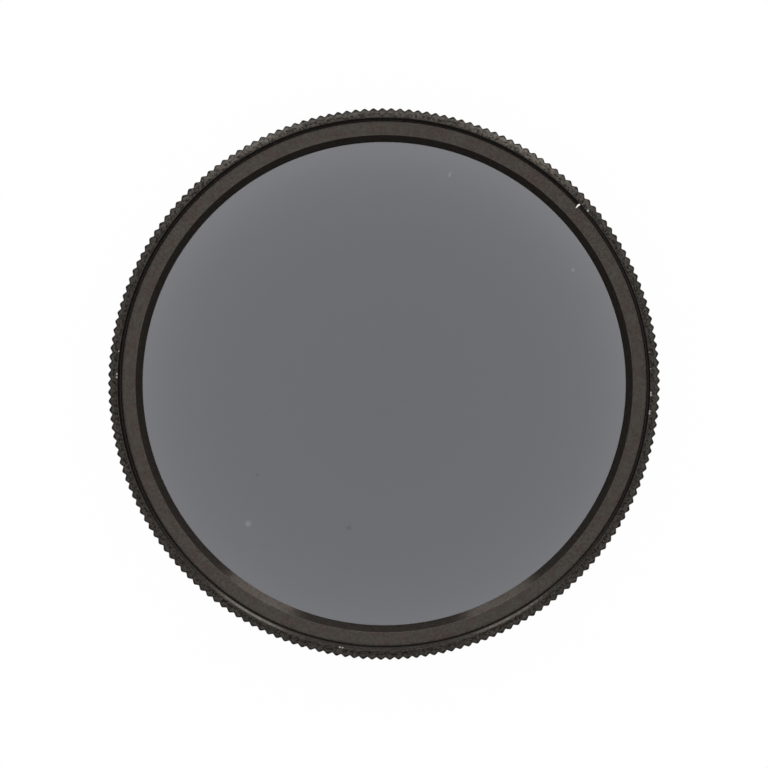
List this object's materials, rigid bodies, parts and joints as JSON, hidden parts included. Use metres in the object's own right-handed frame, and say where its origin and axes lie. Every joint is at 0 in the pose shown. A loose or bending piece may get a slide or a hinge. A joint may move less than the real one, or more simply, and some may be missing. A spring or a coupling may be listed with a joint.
{
  "type": "screw-in lens filter",
  "caption": "Round screw-in lens filter: a knurled anodised ring with a male thread behind and a female thread in front holds a flat grey glass under a retaining ring.",
  "frame": {"origin": "on the optical axis, at the end face of the rear male thread that the filter lies on", "axes": "+Z along the optical axis towards the front, +X to the right and +Y up in the picture"},
  "size_m": [0.0598, 0.0598, 0.0076],
  "materials": {
    "anodised_ring": "dark brown-grey anodised, satin, worn bright on the edges",
    "grey_glass": "polished neutral grey tinted glass",
    "anodised_retainer": "dark brown-grey anodised, matt"
  },
  "bodies": {
    "root": {"filter_ring": "anodised_ring", "filter_glass": "grey_glass", "retaining_ring": "anodised_retainer"}
  },
  "joints": []
}
